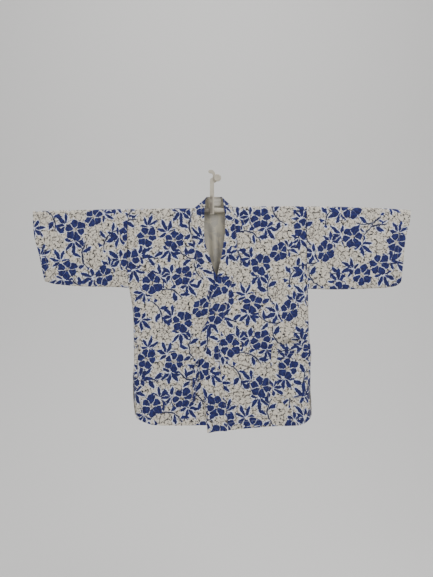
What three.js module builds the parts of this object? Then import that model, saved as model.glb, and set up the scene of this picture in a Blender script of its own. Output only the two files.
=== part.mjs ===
// A jinbei, the short cotton summer jacket of Japan, hung flat on a straight kimono hanger.
// Millimetres. X runs to the viewer's right, the front faces -Y and Z is up.
// The origin is on the underside of the hook's finger, where the hanger rests on a rail.
import * as THREE from "three";

// The cloth.
const CLOTH = 1.6; // wall of one layer of woven cotton
const BAND = 2.6; // wall of the collar band, several layers folded and pressed
const BAND_PROUD = 1.2; // how far the band stands forward of the panel beside it
const SEAM_GAP = 0.4; // between two pieces along a seam
const LAY_GAP = 0.5; // between a piece and the panel that it lies on
const LAP_LIFT = 4.4; // how far the upper front stands off the lower front
const LAP_FADE = 48; // width over which that lift dies away
const SIDE_ROUND = 13; // width of the soft turn at a side seam
const BODY_SWELL = 11; // extra depth of the front and of the back at the hem
const SLEEVE_SWELL = 6; // extra depth of a sleeve halfway down
const SLIT_TOP = -648; // the side slits run from here to the hem
const SLIT_SPREAD = 3.5; // how far each edge of a slit stands open at the hem
const SLIT_INSET = 4; // the front's slit edge lies this far inside the back's

// The hanger.
const BAR_RADIUS = 7;
const BAR_INSET = 16; // the bar ends this far inside each cuff
const PLATE = 6; // thickness of the upright
const HANG_Y = 10.5; // middle plane of the garment, behind the upright
const FOLD_RADIUS = BAR_RADIUS + CLOTH + 0.9; // outside of the cloth over the bar

// The top line of the shoulders and sleeves, from the left cuff to the right cuff.
const TOP_LINE = [
  { x: -570, z: -119 }, { x: -415, z: -115 }, { x: -269, z: -112 }, { x: -160, z: -110.8 },
  { x: -62, z: -109.4 }, { x: 10, z: -107.4 }, { x: 75, z: -105.2 }, { x: 160, z: -103.6 },
  { x: 253, z: -103 }, { x: 380, z: -104.4 }, { x: 507, z: -108 }, { x: 609, z: -113.4 },
  { x: 640, z: -116 },
];
// The side edges of the body, from the shoulder down the armhole and the side seam.
const SIDE_LEFT = [
  { x: -263, z: -112 }, { x: -266, z: -244 }, { x: -266, z: -323 }, { x: -261, z: -365 },
  { x: -254, z: -403 }, { x: -247, z: -467 }, { x: -246, z: -546 }, { x: -245, z: -600 },
  { x: -249, z: -651 }, { x: -248, z: -718 }, { x: -242, z: -774 },
];
const SIDE_RIGHT = [
  { x: 307, z: -103 }, { x: 307, z: -244 }, { x: 307, z: -324 }, { x: 311, z: -368 },
  { x: 314, z: -467 }, { x: 316, z: -524 }, { x: 323, z: -575 }, { x: 320, z: -626 },
  { x: 320, z: -686 }, { x: 324, z: -747 }, { x: 324, z: -782 },
];
// The lower edge of each front, and of the back.
const HEM_LOWER = [
  { x: -248, z: -770 }, { x: -221, z: -786 }, { x: -202, z: -794 }, { x: -176, z: -800 },
  { x: -129, z: -802 }, { x: -33, z: -801 }, { x: 33, z: -802 }, { x: 97, z: -798 },
];
const HEM_UPPER = [
  { x: -7, z: -825 }, { x: 16, z: -820 }, { x: 37, z: -818 }, { x: 94, z: -812 },
  { x: 157, z: -807 }, { x: 231, z: -803 }, { x: 287, z: -801 }, { x: 304, z: -794 },
  { x: 326, z: -780 },
];
const HEM_BACK = [
  { x: -248, z: -768 }, { x: -221, z: -783 }, { x: -190, z: -793 }, { x: -129, z: -797 },
  { x: 200, z: -798 }, { x: 287, z: -796 }, { x: 304, z: -790 }, { x: 326, z: -777 },
];
// The seam of the band and its free edge on each front, from the neck down to the hem.
const SEAM_LOWER = [
  { x: -52, z: -109 }, { x: -57, z: -130 }, { x: -60, z: -149 }, { x: -61, z: -181 },
  { x: -50, z: -251 }, { x: -30, z: -314 }, { x: -14, z: -359 }, { x: 2, z: -419 },
  { x: 14, z: -515 }, { x: 24, z: -626 }, { x: 33, z: -721 }, { x: 40, z: -798 },
];
const EDGE_LOWER = [
  { x: -18, z: -107 }, { x: -16, z: -169 }, { x: -11, z: -198 }, { x: 0, z: -251 },
  { x: 10, z: -292 }, { x: 21, z: -330 }, { x: 33, z: -371 }, { x: 49, z: -435 },
  { x: 65, z: -530 }, { x: 81, z: -642 }, { x: 91, z: -737 }, { x: 97, z: -798 },
];
const SEAM_UPPER = [
  { x: 70, z: -105 }, { x: 75, z: -130 }, { x: 81, z: -181 }, { x: 86, z: -222 },
  { x: 84, z: -263 }, { x: 79, z: -301 }, { x: 68, z: -346 }, { x: 57, z: -403 },
  { x: 43, z: -467 }, { x: 33, z: -530 }, { x: 30, z: -600 }, { x: 37, z: -658 },
  { x: 46, z: -709 }, { x: 51, z: -759 }, { x: 56, z: -818 },
];
const EDGE_UPPER = [
  { x: 42, z: -107 }, { x: 43, z: -181 }, { x: 38, z: -228 }, { x: 33, z: -266 },
  { x: 26, z: -295 }, { x: 21, z: -330 }, { x: 5, z: -381 }, { x: -7, z: -460 },
  { x: -24, z: -492 }, { x: -32, z: -530 }, { x: -34, z: -600 }, { x: -33, z: -651 },
  { x: -21, z: -709 }, { x: -14, z: -759 }, { x: -7, z: -825 },
];
// The collar round the back of the neck. seam is its sewn edge, edge its upper edge,
// and each y is measured from the middle plane of the garment.
const NECK = [
  { seamX: -52, seamY: 0, seamZ: -108.2, edgeX: -16, edgeY: 0, edgeZ: -79 },
  { seamX: -51, seamY: 5.5, seamZ: -109.8, edgeX: -14.5, edgeY: 3.5, edgeZ: -75.5 },
  { seamX: -49, seamY: 9.8, seamZ: -113.5, edgeX: -13, edgeY: 7, edgeZ: -73 },
  { seamX: -40, seamY: 12, seamZ: -119, edgeX: -8, edgeY: 12, edgeZ: -72 },
  { seamX: -16, seamY: 14, seamZ: -122, edgeX: 0, edgeY: 15, edgeZ: -71.5 },
  { seamX: 10, seamY: 14, seamZ: -122, edgeX: 11, edgeY: 16, edgeZ: -71.5 },
  { seamX: 36, seamY: 14, seamZ: -121, edgeX: 23, edgeY: 15, edgeZ: -72 },
  { seamX: 58, seamY: 12, seamZ: -117, edgeX: 32, edgeY: 12, edgeZ: -72 },
  { seamX: 67, seamY: 9.8, seamZ: -109.5, edgeX: 37, edgeY: 7, edgeZ: -73 },
  { seamX: 69, seamY: 5.5, seamZ: -105.8, edgeX: 38.5, edgeY: 3.5, edgeZ: -75 },
  { seamX: 70, seamY: 0, seamZ: -104.2, edgeX: 40, edgeY: 0, edgeZ: -78 },
];
// Cuffs and the lower edges of the sleeves.
const CUFF_LEFT = [
  { x: -567, z: -118 }, { x: -561, z: -194 }, { x: -544, z: -263 }, { x: -529, z: -344 },
];
const CUFF_RIGHT = [
  { x: 638, z: -118 }, { x: 636, z: -141 }, { x: 620, z: -212 }, { x: 613, z: -288 },
  { x: 608, z: -344 },
];
const UNDER_LEFT = [
  { x: -530, z: -344 }, { x: -506, z: -351 }, { x: -468, z: -356 }, { x: -383, z: -361 },
  { x: -286, z: -363 }, { x: -260, z: -365 },
];
const UNDER_RIGHT = [
  { x: 308, z: -368 }, { x: 405, z: -370 }, { x: 506, z: -367 }, { x: 570, z: -363 },
  { x: 598, z: -356 }, { x: 610, z: -345 },
];
// Soft folds. x is where a fold starts, drift how far it leans by the hem, drop the depth
// below the shoulder where it begins, wide its half width and deep its height (minus: hollow).
const FRONT_FOLDS = [
  { x: -205, drift: 18, drop: 190, wide: 34, deep: 3.6 },
  { x: -140, drift: 12, drop: 260, wide: 30, deep: -2.6 },
  { x: -92, drift: -10, drop: 120, wide: 32, deep: 2.4 },
  { x: 128, drift: 16, drop: 150, wide: 34, deep: 3.0 },
  { x: 190, drift: 10, drop: 240, wide: 28, deep: -2.4 },
  { x: 252, drift: 14, drop: 180, wide: 32, deep: 3.8 },
];
const BACK_FOLDS = [
  { x: -190, drift: 10, drop: 160, wide: 36, deep: 3.8 },
  { x: -110, drift: -14, drop: 220, wide: 32, deep: -2.8 },
  { x: -40, drift: -8, drop: 90, wide: 30, deep: 3.2 },
  { x: 52, drift: 12, drop: 110, wide: 34, deep: 3.4 },
  { x: 130, drift: 8, drop: 230, wide: 30, deep: -2.6 },
  { x: 222, drift: -12, drop: 170, wide: 36, deep: 4.0 },
];
// Rows down the body, as drops below the shoulder line, and the nominal whole drop.
const ROWS = [
  0, 1.3, 4.6, 9.2, 24, 48, 78, 112, 148, 180, 211, 221, 238, 248, 256, 264, 282, 316, 352, 390,
  430, 470, 508, 540, 572, 606, 640, 669, 694,
];
const WHOLE_DROP = 694;

const clamp01 = (t) => Math.min(1, Math.max(0, t));
const mix = (a, b, t) => a + (b - a) * t;
const smooth = (t) => clamp01(t) ** 2 * (3 - 2 * clamp01(t));

// Reads a table of points: the value of `give` where column `by` equals v.
function read(table, by, give, v) {
  const rising = table[table.length - 1][by] > table[0][by];
  let i = 0;
  while (i < table.length - 2 && (rising ? table[i + 1][by] < v : table[i + 1][by] > v)) i++;
  const a = table[i];
  const b = table[i + 1];
  return mix(a[give], b[give], clamp01((v - a[by]) / (b[by] - a[by])));
}
const topAt = (x) => read(TOP_LINE, "x", "z", x);

// Depth of the cloth from the middle plane: round the bar first, then swelling to the hem.
function hang(drop) {
  if (drop >= FOLD_RADIUS) return FOLD_RADIUS;
  return Math.sqrt(Math.max(0, FOLD_RADIUS ** 2 - (FOLD_RADIUS - drop) ** 2));
}
function folds(table, x, drop) {
  let sum = 0;
  for (const f of table) {
    const centre = f.x + (f.drift * drop) / WHOLE_DROP;
    const away = (x - centre) / f.wide;
    sum += f.deep * Math.exp(-away * away) * smooth((drop - f.drop * 0.5) / 330);
  }
  return sum;
}
function frontDepth(x, drop) {
  const swell = BODY_SWELL * smooth(drop / WHOLE_DROP) + 1.2 * smooth(drop / 90);
  return hang(drop) + swell + folds(FRONT_FOLDS, x, drop);
}
function backDepth(x, drop) {
  const nape = 3.3 * Math.exp(-(((x - 10) / 62) ** 4)) * (1 - smooth((drop - 60) / 160));
  const swell = BODY_SWELL * smooth(drop / WHOLE_DROP) + 1.2 * smooth(drop / 90);
  return hang(drop) + nape * smooth(drop / 12) + swell + folds(BACK_FOLDS, x, drop);
}
// Half depth of a sleeve: round the bar, soft sides, closed along the lower edge.
function sleeveDepth(drop, whole, swell) {
  const left = Math.max(0, whole - drop);
  const belly = swell * Math.sin(Math.PI * clamp01(drop / whole)) ** 0.8;
  const close = FOLD_RADIUS * 1.1;
  const shut = left >= close ? 1 : Math.sqrt(Math.max(0, 1 - (1 - left / close) ** 2));
  return (hang(drop) + belly) * shut;
}

// Turns a grid of points on the outside of a cloth into a closed wall of even thickness.
// A row's neighbours are the rows before and after it. The outside faces du x dv.
// fix(row, column, normal) may correct a normal, so that sewn edges end in one plane.
function wall(grid, thick, { closed = false, fix = null } = {}) {
  const rows = grid.length;
  const cols = grid[0].length;
  const wrap = (c) => (c + cols) % cols;
  const du = new THREE.Vector3();
  const dv = new THREE.Vector3();
  const points = [];
  for (const row of grid) for (const p of row) points.push(p);
  for (let r = 0; r < rows; r++) {
    for (let c = 0; c < cols; c++) {
      const next = closed ? wrap(c + 1) : Math.min(cols - 1, c + 1);
      const last = closed ? wrap(c - 1) : Math.max(0, c - 1);
      du.subVectors(grid[r][next], grid[r][last]);
      dv.subVectors(grid[Math.min(rows - 1, r + 1)][c], grid[Math.max(0, r - 1)][c]);
      const n = new THREE.Vector3().crossVectors(du, dv).normalize();
      if (fix) fix(r, c, n);
      points.push(grid[r][c].clone().addScaledVector(n.normalize(), -thick));
    }
  }
  const inner = rows * cols;
  const index = [];
  const quad = (a, b, c, d) => index.push(a, b, c, a, c, d);
  const across = closed ? cols : cols - 1;
  for (let r = 0; r < rows - 1; r++) {
    for (let c = 0; c < across; c++) {
      const a = r * cols + c;
      const b = r * cols + wrap(c + 1);
      quad(a, b, b + cols, a + cols);
      quad(inner + a, inner + a + cols, inner + b + cols, inner + b);
    }
  }
  for (let c = 0; c < across; c++) {
    const top = [c, wrap(c + 1)];
    const low = top.map((i) => i + (rows - 1) * cols);
    quad(top[1], top[0], top[0] + inner, top[1] + inner);
    quad(low[0], low[1], low[1] + inner, low[0] + inner);
  }
  for (let r = 0; r < rows - 1 && !closed; r++) {
    const a = r * cols;
    const b = a + cols - 1;
    quad(a, a + cols, a + cols + inner, a + inner);
    quad(b + cols, b, b + inner, b + cols + inner);
  }
  const geometry = new THREE.BufferGeometry().setFromPoints(points);
  geometry.setIndex(index);
  geometry.computeVertexNormals();
  return geometry;
}

// Where a cloth's outside lies in depth at (x, z), read off its own flat facets.
function depthOn(grid, x, z) {
  const tri = new THREE.Triangle();
  const flat = (p) => new THREE.Vector3(p.x, 0, p.z);
  const weight = new THREE.Vector3();
  for (let r = 0; r < grid.length - 1; r++) {
    for (let c = 0; c < grid[0].length - 1; c++) {
      const [a, b, d, e] = [grid[r][c], grid[r][c + 1], grid[r + 1][c + 1], grid[r + 1][c]];
      for (const [p, q, s] of [[a, b, d], [a, d, e]]) {
        tri.set(flat(p), flat(q), flat(s));
        if (tri.getArea() < 1e-6) continue;
        tri.getBarycoord(new THREE.Vector3(x, 0, z), weight);
        if (Math.min(weight.x, weight.y, weight.z) < -1e-4) continue;
        return p.y * weight.x + q.y * weight.y + s.y * weight.z;
      }
    }
  }
  return null;
}

const part = new THREE.Group();
part.name = "jinbei";
function add(name, geometry, color, roughness = 0.9) {
  const mesh = new THREE.Mesh(geometry, new THREE.MeshStandardMaterial({ color, roughness }));
  mesh.name = name;
  part.add(mesh);
  return mesh;
}

// How deep the side edge of a body panel lies: along the sleeve, then shut in the seam,
// then a little open down the slit.
function edgeDepth(left, x, z) {
  const top = topAt(x);
  const under = read(left ? UNDER_LEFT : UNDER_RIGHT, "x", "z", x);
  const sleeve = sleeveDepth(top - z, top - under, SLEEVE_SWELL);
  const slit = SLIT_SPREAD * smooth((SLIT_TOP - z) / 90);
  return Math.max(sleeve, SEAM_GAP / 2, slit);
}
// Sewn side edges end square: across at the armhole, in line with the seam below it.
function squareSide(n, depth, facing) {
  const w = clamp01((depth - SEAM_GAP / 2) / (2 * CLOTH));
  n.set(facing * (1 - w), n.y < 0 ? -w : w, 0);
}
// z of a row at x, stretched so that the last row lies on the hem.
function rowZ(k, x, hem) {
  const top = topAt(x);
  const stretch = (top - read(hem, "x", "z", x)) / WHOLE_DROP - 1;
  return top - ROWS[k] * (1 + stretch * smooth((ROWS[k] - 280) / 390));
}
const NOSE = [0, 0.09, 0.34, 0.7, 1]; // columns through the soft turn at a side seam

// A front panel. left is the viewer's left, which is the lower front.
function frontGrid(left) {
  const side = left ? SIDE_LEFT : SIDE_RIGHT;
  const seam = left ? SEAM_LOWER : SEAM_UPPER;
  const hem = left ? HEM_LOWER : HEM_UPPER;
  const inward = left ? 1 : -1;
  const columns = 11;
  const grid = [];
  for (let k = 0; k < ROWS.length; k++) {
    const row = [];
    for (let c = 0; c < NOSE.length + columns; c++) {
      const at = (z) => {
        const slit = SLIT_INSET * smooth((SLIT_TOP - z) / 60);
        const from = read(side, "z", "x", z) + inward * (SEAM_GAP / 2 + slit);
        const to = read(seam, "z", "x", z) - (inward * SEAM_GAP) / 2;
        if (c < NOSE.length) return from + inward * SIDE_ROUND * NOSE[c];
        return mix(from + inward * SIDE_ROUND, to, (c - NOSE.length + 1) / columns);
      };
      let z = topAt(0) - ROWS[k];
      for (let pass = 0; pass < 3; pass++) z = rowZ(k, at(z), hem);
      const x = at(z);
      const drop = Math.max(0, topAt(x) - z);
      const edge = Math.min(edgeDepth(left, x, z), frontDepth(x, drop));
      const turn = c < NOSE.length ? Math.sqrt(1 - (1 - NOSE[c]) ** 2) : 1;
      const depth = mix(edge, frontDepth(x, drop), turn) + (left ? 0 : lapLift(x, z));
      row.push(new THREE.Vector3(x, HANG_Y - Math.max(SEAM_GAP / 2, depth), z));
    }
    grid.push(left ? row : row.reverse());
  }
  return grid.reverse();
}
// The upper front is lifted where the lower front and its band lie beneath.
function lapLift(x, z) {
  const beneath = read(EDGE_LOWER, "z", "x", z);
  return LAP_LIFT * (1 - smooth((x - beneath - 2) / LAP_FADE));
}
const fixFront = (left, grid) => (r, c, n) => {
  const cols = grid[0].length;
  const side = left ? 0 : cols - 1;
  if (r === grid.length - 1) n.set(0, 0, 1);
  else if (c === side) squareSide(n, HANG_Y - grid[r][c].y, left ? -1 : 1);
  else if (c === cols - 1 - side) n.x = 0;
};
const lowerFront = frontGrid(true);
const upperFront = frontGrid(false);
add("front_right", wall(lowerFront, CLOTH, { fix: fixFront(true, lowerFront) }), 0xc9cbd2);
add("front_left", wall(upperFront, CLOTH, { fix: fixFront(false, upperFront) }), 0xc9cbd2);

// The back, one panel from side to side, with the neckline cut out of its upper edge.
function backGrid() {
  const neck = NECK.filter((p) => p.seamY >= 0);
  const even = 8;
  const grid = [];
  const total = 2 * (NOSE.length + even) + neck.length - 2;
  for (let k = 0; k < ROWS.length; k++) {
    const row = [];
    for (let c = 0; c < total; c++) {
      const left = c < total / 2;
      const i = left ? c : total - 1 - c;
      const inward = left ? 1 : -1;
      const at = (z) => {
        const from = read(left ? SIDE_LEFT : SIDE_RIGHT, "z", "x", z) + (inward * SEAM_GAP) / 2;
        if (i < NOSE.length) return from + inward * SIDE_ROUND * NOSE[i];
        const start = from + inward * SIDE_ROUND;
        if (i < NOSE.length + even - 1)
          return mix(start, left ? -52 : 70, (i - NOSE.length + 1) / even);
        return neck[c - NOSE.length - even + 1].seamX - inward * SEAM_GAP;
      };
      let z = topAt(0) - ROWS[k];
      for (let pass = 0; pass < 3; pass++) z = rowZ(k, at(z), HEM_BACK);
      let x = at(z);
      let drop = Math.max(0, topAt(x) - z);
      // In the neck the first rows start at the seam of the collar.
      const cut = Math.max(0, topAt(x) - read(neck, "seamX", "seamZ", x));
      const inNeck = x > -52 && x < 70;
      if (inNeck) drop = drop + (cut + SEAM_GAP) * (1 - smooth(drop / 60));
      z = topAt(x) - drop;
      // Lower down the columns spread out evenly.
      const evenX = mix(at0(true, z), at0(false, z), c / (total - 1));
      if (i >= NOSE.length) x = mix(x, mix(x, evenX, 0.8), smooth((drop - 60) / 240));
      const edge = Math.min(edgeDepth(left, x, z), backDepth(x, drop));
      const turn = i < NOSE.length ? Math.sqrt(1 - (1 - NOSE[i]) ** 2) : 1;
      const depth = mix(edge, backDepth(x, drop), turn);
      row.push(new THREE.Vector3(x, HANG_Y + Math.max(SEAM_GAP / 2, depth), z));
    }
    grid.push(row);
  }
  return grid;
}
const at0 = (left, z) => read(left ? SIDE_LEFT : SIDE_RIGHT, "z", "x", z);
const back = backGrid();
const fixBack = (r, c, n) => {
  const cols = back[0].length;
  const p = back[r][c];
  if (r === 0 && (p.x < -51 || p.x > 69)) n.set(0, 0, 1);
  else if (r === 0) n.z = 0;
  else if (c === 0) squareSide(n, p.y - HANG_Y, -1);
  else if (c === cols - 1) squareSide(n, p.y - HANG_Y, 1);
};
add("back", wall(back, CLOTH, { fix: fixBack }), 0xc4c6cd);

// A sleeve is a tube: folded over the bar along the top, closed below, open at both ends.
function sleeveGrid(left) {
  const side = left ? SIDE_LEFT : SIDE_RIGHT;
  const cuff = left ? CUFF_LEFT : CUFF_RIGHT;
  const under = left ? UNDER_LEFT : UNDER_RIGHT;
  const outward = left ? -1 : 1;
  const down = [0, 0.006, 0.018, 0.038, 0.16, 0.34, 0.52, 0.69, 0.834, 0.945, 0.975, 0.99, 1];
  const around = [...down.map((q) => [q, -1]), ...down.slice(1, -1).reverse().map((q) => [q, 1])];
  const stations = [0, 0.07, 0.2, 0.36, 0.53, 0.7, 0.86, 0.96, 1];
  return stations.map((s) =>
    around.map(([q, face]) => {
      const armTop = side[0].z;
      const armZ = mix(armTop, read(under, "x", "z", side[0].x), q);
      const arm = read(side, "z", "x", armZ) + outward * (SEAM_GAP / 2);
      const end = read(cuff, "z", "x", mix(-118, -344, q));
      const x = mix(arm, end, s);
      const top = topAt(x);
      const whole = top - read(under, "x", "z", x);
      const drop = whole * q;
      const sag = 1.5 * Math.sin(6 * s + 3 * q + (left ? 0 : 2)) * Math.sin(Math.PI * q);
      const swell = SLEEVE_SWELL + 3 * smooth(s);
      const depth = sleeveDepth(drop, whole, swell) + sag * smooth(s * 5);
      return new THREE.Vector3(x, HANG_Y + face * Math.max(0, depth), top - drop);
    }),
  );
}
for (const left of [true, false]) {
  const grid = sleeveGrid(left);
  if (left) for (const row of grid) row.reverse();
  const fix = (r, c, n) => {
    if (r === 0) n.x = 0;
  };
  const geometry = wall(grid, CLOTH, { closed: true, fix });
  add(left ? "sleeve_right" : "sleeve_left", geometry, 0xc0c3cc);
}

// The collar band: one folded strip up the lower front, round the neck, down the upper front.
// Its sewn edge is made from the points of the panel edges, moved across the seam.
function collarGrid() {
  const columns = 4;
  const down = (left) => {
    const grid = left ? lowerFront : upperFront;
    const inward = left ? 1 : -1;
    const sewn = grid.map((row) => (left ? row[row.length - 1] : row[0])).reverse();
    const nape = NECK[left ? 0 : NECK.length - 1];
    return sewn.slice(1).map((p, k) => {
      const rise = 24 * (1 - smooth((-p.z - 120) / 220));
      const seamX = p.x + inward * SEAM_GAP;
      const edgeX = read(left ? EDGE_LOWER : EDGE_UPPER, "z", "x", p.z + rise);
      const hem = left ? HEM_LOWER : HEM_UPPER;
      const row = [];
      if (k < 3) {
        // Over the shoulder the free edge climbs to the collar at the nape.
        const t = (k + 1) / 4;
        const from = new THREE.Vector3(nape.edgeX, HANG_Y, nape.edgeZ);
        const to = new THREE.Vector3(left ? -18 : 42, HANG_Y - 11.5, topAt(p.x) - 2);
        const edge = from.lerp(to, t);
        const proud = BAND_PROUD * Math.max(0.8, t);
        const seam = new THREE.Vector3(seamX, p.y - proud, p.z + 0.8 * (1 - t));
        for (let c = 0; c <= columns; c++) row.push(seam.clone().lerp(edge, c / columns));
        return row;
      }
      for (let c = 0; c <= columns; c++) {
        const t = c / columns;
        const x = mix(seamX, edgeX, t);
        const low = read(hem, "x", "z", x) - p.z;
        const z = p.z + rise * t + (p.z < -790 ? low : 0);
        const clear = (BAR_RADIUS + BAND + 1.4) * smooth(2 * t);
        const depth = Math.max(clear, frontDepth(x, topAt(x) - z)) + (left ? 0 : lapLift(x, z));
        const y = t === 0 ? p.y : HANG_Y - depth;
        row.push(new THREE.Vector3(x, y - BAND_PROUD, z));
      }
      return row;
    });
  };
  const neck = NECK.map((p, i) => {
    const seam = new THREE.Vector3(p.seamX, HANG_Y + p.seamY, p.seamZ);
    seam.x += p.seamX < 10 ? SEAM_GAP / 2 : -SEAM_GAP / 2;
    if (p.seamY > 1) seam.z += SEAM_GAP;
    if (i === 0 || i === NECK.length - 1) seam.x += i === 0 ? SEAM_GAP / 2 : -SEAM_GAP / 2;
    const edge = new THREE.Vector3(p.edgeX, HANG_Y + p.edgeY, p.edgeZ);
    const row = [];
    for (let c = 0; c <= columns; c++) {
      const point = seam.clone().lerp(edge, c / columns);
      point.y += 1.4 * Math.sin((Math.PI * c) / columns) * Math.sign(p.seamY);
      row.push(point);
    }
    return row;
  });
  return [...down(true).reverse(), ...neck, ...down(false)];
}
const collar = collarGrid();
const fixCollar = (r, c, n) => {
  if (c === 0 && collar[r][c].y < HANG_Y - 1) n.x = 0;
};
add("collar_band", wall(collar, BAND, { fix: fixCollar }), 0xb9bdc8);

// The patch pocket lies on the upper front, made from that panel's facets, moved out.
// Its mouth stands a little open.
const POCKET = { mouthLeft: -548, mouthRight: -528, low: -714, gape: 10 };
const POCKET_SIDE = [{ x: 197, z: -540 }, { x: 187, z: -640 }, { x: 179, z: -714 }];
function pocketGrid() {
  const grid = [];
  for (const down of [1, 0.84, 0.66, 0.48, 0.3, 0.15, 0.05, 0]) {
    const row = [];
    for (const across of [0, 0.08, 0.24, 0.42, 0.6, 0.78, 0.92, 1]) {
      const mouth = mix(POCKET.mouthLeft, POCKET.mouthRight, across);
      const z = mix(mouth, POCKET.low + 3 * across, down);
      const from = read(POCKET_SIDE, "z", "x", z);
      const slit = SLIT_INSET * smooth((SLIT_TOP - z) / 60);
      const to = read(SIDE_RIGHT, "z", "x", z) - 0.85 * SIDE_ROUND - slit;
      const x = mix(from, to, across);
      const gape = POCKET.gape * Math.sin(Math.PI * across ** 0.8) * (1 - smooth(down * 1.9));
      row.push(new THREE.Vector3(x, depthOn(upperFront, x, z) - LAY_GAP - CLOTH - gape, z));
    }
    grid.push(row);
  }
  return grid;
}
add("pocket", wall(pocketGrid(), CLOTH), 0xc6c9d0);

// The ties are narrow folded strips that hang straight down in front of the lower front.
const TIE = { half: 5.2, thick: 2.2 };
function tieGrid(path) {
  return path.map(({ x, z, off }) => {
    const reach = [-1, 0, 1].map((side) => depthOn(lowerFront, x + side * TIE.half, z));
    const y = Math.min(...reach.filter((v) => v !== null)) - LAY_GAP - TIE.thick - off;
    return [-1, 0, 1].map((side) => new THREE.Vector3(x + side * TIE.half, y, z));
  });
}
const TIE_FRONT = [
  { x: -52, z: -728, off: 1.5 }, { x: -52, z: -700, off: 1.2 }, { x: -52.5, z: -670, off: 1 },
  { x: -51.5, z: -640, off: 1 }, { x: -47, z: -619, off: 1.4 }, { x: -42, z: -600, off: 1.6 },
  { x: -39.8, z: -577, off: 1.8 }, { x: -38.6, z: -558, off: 2.2 }, { x: -38, z: -542, off: 2.5 },
];
const TIE_SIDE = [
  { x: -236.5, z: -648, off: 1.4 }, { x: -237, z: -620, off: 1 }, { x: -236, z: -590, off: 0.8 },
  { x: -236, z: -546, off: 0.4 },
];
add("tie_front", wall(tieGrid(TIE_FRONT), TIE.thick), 0x3a4670);
add("tie_side", wall(tieGrid(TIE_SIDE), TIE.thick), 0x3a4670);

// The bare label is sewn inside the collar at the back of the neck.
const LABEL = { left: 9, right: 33, top: -78, low: -101, thick: 0.8 };
const nape = collar.filter((row) => row[0].y > HANG_Y + 5);
const labelGrid = [0, 0.5, 1].map((up) =>
  [0, 0.33, 0.67, 1].map((across) => {
    const x = mix(LABEL.left, LABEL.right, across);
    const z = mix(LABEL.low, LABEL.top, up);
    const y = depthOn(nape, x, z) - BAND * 1.1 - LAY_GAP - LABEL.thick;
    return new THREE.Vector3(x, y, z);
  }),
);
add("neck_label", wall(labelGrid, LABEL.thick), 0xe8e6e0);

// The bar of the hanger runs through both sleeves and follows the shoulder line.
const barEnds = [-567 + BAR_INSET, 638 - BAR_INSET];
const barPath = new THREE.CatmullRomCurve3(
  [barEnds[0], -415, -269, -160, -62, 10, 75, 160, 253, 380, 507, barEnds[1]].map(
    (x) => new THREE.Vector3(x, HANG_Y, topAt(x) - FOLD_RADIUS),
  ),
);
const disc = new THREE.Shape().absarc(0, 0, BAR_RADIUS, 0, 2 * Math.PI);
const barShape = { steps: 16, curveSegments: 16, bevelEnabled: false, extrudePath: barPath };
add("hanger_bar", new THREE.ExtrudeGeometry(disc, barShape), 0xcfc9ba, 0.45);

// The flat upright stands in front of the bar. Above it the spine ends in a finger that
// curls over the throat, and an ear carries the knob.
const hook = new THREE.Shape();
hook.moveTo(-2, -130);
hook.lineTo(13, -130);
hook.lineTo(13, -30);
hook.quadraticCurveTo(22, -27, 24, -18);
hook.quadraticCurveTo(25, -8, 15, -4);
hook.quadraticCurveTo(14.5, 4, 9, 9);
hook.quadraticCurveTo(4, 13, -3, 11);
hook.quadraticCurveTo(-8, 9, -7, 5);
hook.quadraticCurveTo(-6, 1, -1, 0);
hook.lineTo(3, 0);
hook.quadraticCurveTo(6.5, -1.5, 7, -6);
hook.lineTo(7, -14);
hook.quadraticCurveTo(2, -13, -0.6, -17);
hook.quadraticCurveTo(-2, -20, -2, -26);
hook.closePath();
const EASE = 0.8; // how much the edges of the upright are rounded
const plate = new THREE.ExtrudeGeometry(hook, {
  depth: PLATE - 2 * EASE,
  curveSegments: 5,
  bevelThickness: EASE,
  bevelSize: EASE,
  bevelOffset: -EASE,
  bevelSegments: 2,
});
plate.rotateX(Math.PI / 2);
plate.translate(0, PLATE / 2 - EASE, 0);
add("hanger_hook", plate, 0xcfc9ba, 0.45);

// The round knob sits on the front of the ear.
const KNOB = { radius: 12, thick: 8, x: 22, z: -14.5 };
const knobProfile = [
  [0, 0], [KNOB.radius - 1.5, 0], [KNOB.radius, 1.5], [KNOB.radius, KNOB.thick - 3],
  [KNOB.radius - 1, KNOB.thick - 1.2], [KNOB.radius - 3.5, KNOB.thick], [0, KNOB.thick],
].map(([r, y]) => new THREE.Vector2(r, y));
const knob = new THREE.LatheGeometry(knobProfile, 28);
knob.rotateX(Math.PI);
knob.translate(KNOB.x, -PLATE / 2 - 0.3, KNOB.z);
add("hanger_knob", knob, 0xd6d0c2, 0.45);

export default part;
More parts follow.
